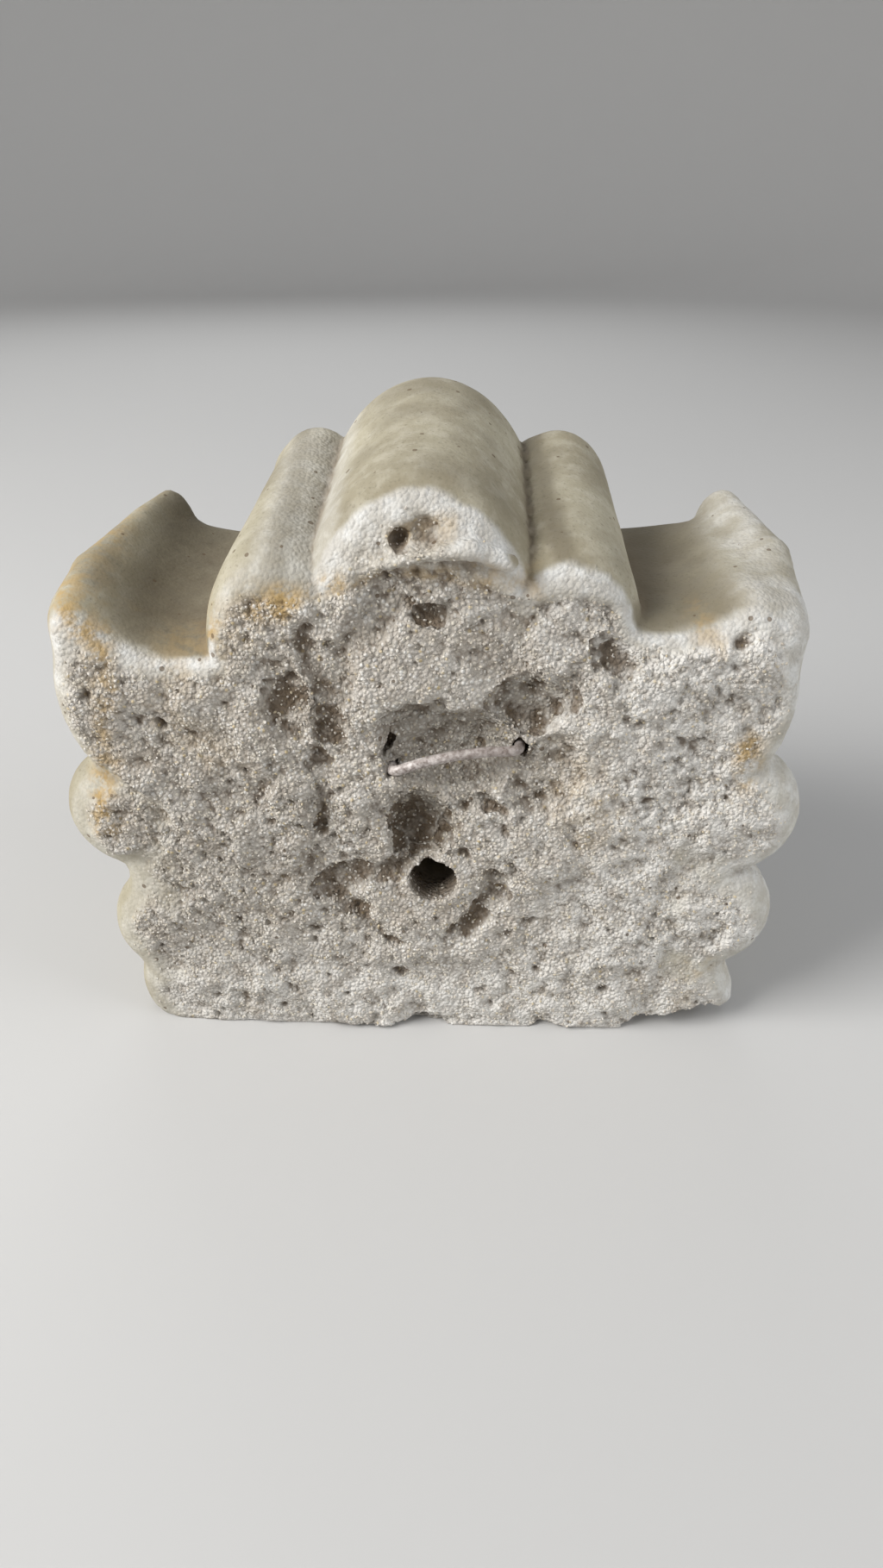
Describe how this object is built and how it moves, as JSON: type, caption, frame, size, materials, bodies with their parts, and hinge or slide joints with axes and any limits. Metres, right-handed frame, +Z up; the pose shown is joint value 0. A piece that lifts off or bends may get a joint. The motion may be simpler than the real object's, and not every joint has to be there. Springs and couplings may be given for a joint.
{
  "type": "stone gargoyle head wall spout",
  "caption": "Cast-stone gargoyle head with a domed crown, scooped ears and a ruff; flat back with a wire hanging loop, a spout bore to the mouth and a flat base.",
  "frame": {"origin": "on the base, under the middle of the stone's outline box", "axes": "+Z up; the face looks along -Y and the flat back faces +Y; +X is the gargoyle's own left"},
  "size_m": [0.229, 0.143, 0.1989],
  "materials": {
    "cast_stone": "rough sandy back, smoother weathered carving, worn white edges",
    "rusted_wire": "rusted"
  },
  "bodies": {
    "root": {"gargoyle_head": "cast_stone", "hanging_wire": "rusted_wire"}
  },
  "joints": []
}
